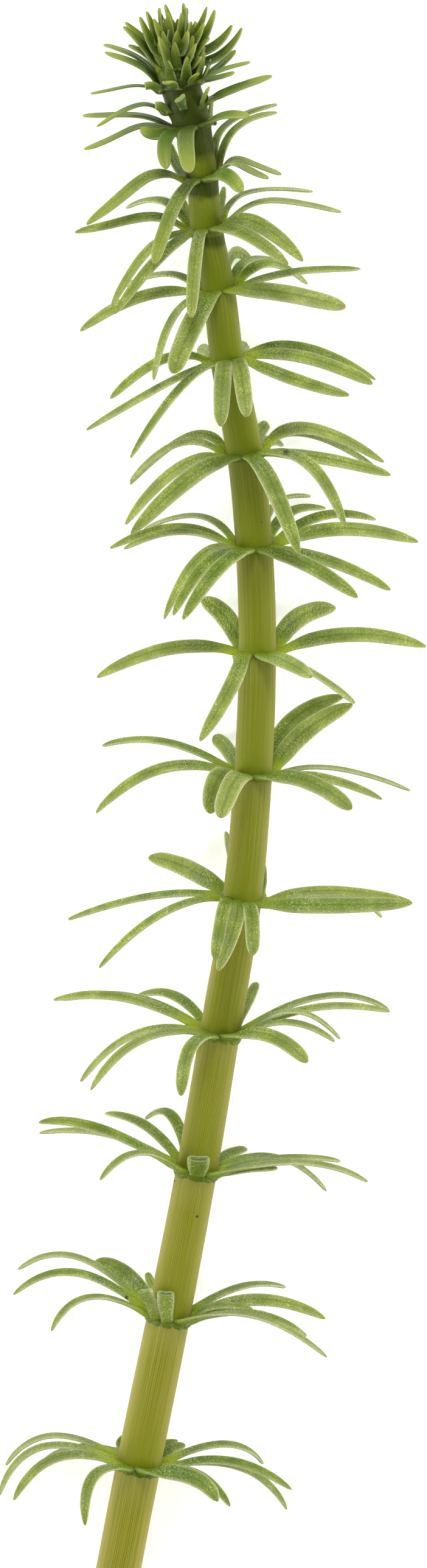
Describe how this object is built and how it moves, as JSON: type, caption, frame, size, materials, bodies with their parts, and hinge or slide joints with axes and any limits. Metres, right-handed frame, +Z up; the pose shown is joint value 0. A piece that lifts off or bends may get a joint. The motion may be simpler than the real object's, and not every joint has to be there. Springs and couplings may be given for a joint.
{
  "type": "mare's tail shoot",
  "caption": "Cut green shoot of a water plant lying on its side, with a slightly bent stem, rings of narrow strap leaves along it and a crowded growing tip.",
  "frame": {"origin": "middle of the shoot's footprint on the surface that it lies on", "axes": "+Y along the shoot from the cut end to the growing tip, +Z up from the surface, +X to the right in the picture"},
  "size_m": [0.0493, 0.1852, 0.0203],
  "materials": {
    "stem": "fresh yellow-green stem tissue, finely ribbed along its length, slightly glossy and translucent",
    "leaf": "fresh green leaf tissue with pale flecks and a bumpy surface, semi-matt and translucent",
    "young_leaf": "young dark green leaf tissue with yellow-green tips, semi-matt and translucent"
  },
  "bodies": {
    "root": {"stem": "stem", "whorl_01": "leaf", "whorl_02": "leaf", "whorl_03": "leaf", "whorl_04": "leaf", "whorl_05": "leaf", "whorl_06": "leaf", "whorl_07": "leaf", "whorl_08": "leaf", "whorl_09": "leaf", "whorl_10": "leaf", "whorl_11": "leaf", "whorl_12": "leaf", "whorl_13": "leaf", "whorl_14": "leaf", "whorl_15": "leaf", "whorl_16": "leaf", "growing_tip": "young_leaf"}
  },
  "joints": []
}
